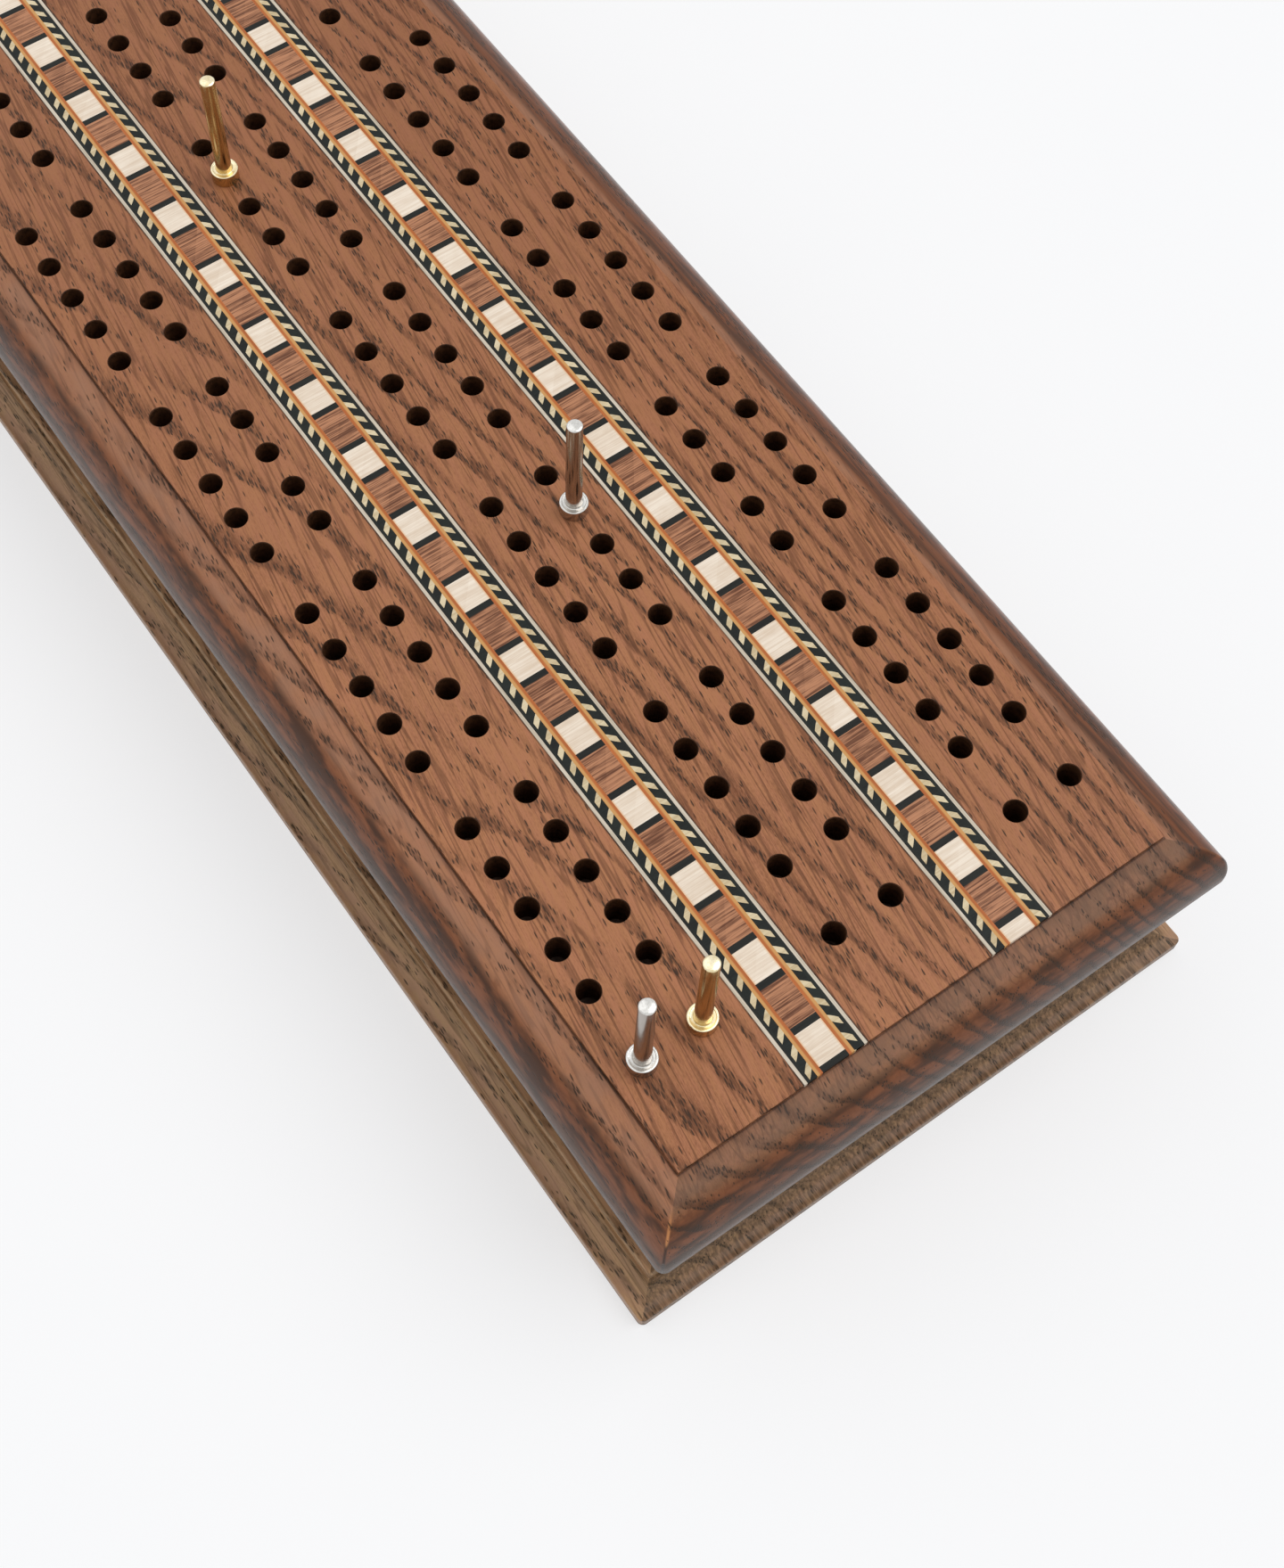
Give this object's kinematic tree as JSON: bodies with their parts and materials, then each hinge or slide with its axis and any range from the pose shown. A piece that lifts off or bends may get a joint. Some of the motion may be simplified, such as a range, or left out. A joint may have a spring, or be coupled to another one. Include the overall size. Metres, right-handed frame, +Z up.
{
  "type": "cribbage board box",
  "caption": "Wooden cribbage board on a low moulded case, with marquetry bandings between its tracks of holes, metal pegs that lift out and a drawer in the far end.",
  "frame": {"origin": "centre of the base board's flat underside", "axes": "+Y along the box towards the drawer's knob, +X across it to the right seen from the start holes, +Z up out of the playing field"},
  "size_m": [0.1004, 0.2965, 0.0604],
  "materials": {
    "board_oak": "oak plank, walnut stain, satin lacquer",
    "base_oak": "oak, walnut stain, satin lacquer",
    "case_oak": "oak, walnut stain, satin lacquer",
    "maple": "maple veneer, satin lacquer",
    "black_veneer": "dyed black veneer, satin lacquer",
    "brown_veneer": "walnut veneer cut across the grain, satin lacquer",
    "orange_veneer": "orange dyed veneer, satin lacquer",
    "rope_veneer": "slanted chips of black and cream veneer, satin lacquer",
    "drawer_wood": "plain oak, thin lacquer",
    "drawer_panel": "birch plywood, thin lacquer",
    "knob_brass": "turned brass, polished",
    "steel": "plain steel",
    "silver_metal": "bright nickel finish",
    "brass": "polished brass"
  },
  "bodies": {
    "case": {"playing_board": "board_oak", "base_board": "base_oak", "case_side_left": "case_oak", "case_side_right": "case_oak", "case_end_wall": "case_oak", "left_banding_black_bars": "black_veneer", "left_banding_black_lines": "black_veneer", "left_banding_brown_blocks": "brown_veneer", "left_banding_light_blocks": "maple", "left_banding_light_lines": "maple", "left_banding_orange_lines": "orange_veneer", "left_banding_rope_strips": "rope_veneer", "right_banding_black_bars": "black_veneer", "right_banding_black_lines": "black_veneer", "right_banding_brown_blocks": "brown_veneer", "right_banding_light_blocks": "maple", "right_banding_light_lines": "maple", "right_banding_orange_lines": "orange_veneer", "right_banding_rope_strips": "rope_veneer"},
    "drawer": {"drawer_front": "case_oak", "drawer_side_left": "drawer_wood", "drawer_side_right": "drawer_wood", "drawer_back": "drawer_wood", "drawer_bottom": "drawer_panel", "drawer_divider_inner": "drawer_wood", "drawer_divider_outer": "drawer_wood", "drawer_knob": "knob_brass", "knob_screw": "steel"},
    "peg_silver_start": {"peg_silver_start": "silver_metal"},
    "peg_brass_start": {"peg_brass_start": "brass"},
    "peg_brass_middle": {"peg_brass_middle": "brass"},
    "peg_silver_middle": {"peg_silver_middle": "silver_metal"}
  },
  "joints": [
    {"name": "drawer_slide", "type": "slide", "parent": "case", "child": "drawer", "axis": [0, 1, 0], "range_m": [0, 0.235]},
    {"name": "peg_silver_start_lift", "type": "slide", "parent": "case", "child": "peg_silver_start", "axis": [0, 0, 1], "range_m": [0, 0.0125]},
    {"name": "peg_brass_start_lift", "type": "slide", "parent": "case", "child": "peg_brass_start", "axis": [0, 0, 1], "range_m": [0, 0.0125]},
    {"name": "peg_brass_middle_lift", "type": "slide", "parent": "case", "child": "peg_brass_middle", "axis": [0, 0, 1], "range_m": [0, 0.0125]},
    {"name": "peg_silver_middle_lift", "type": "slide", "parent": "case", "child": "peg_silver_middle", "axis": [0, 0, 1], "range_m": [0, 0.0125]}
  ]
}
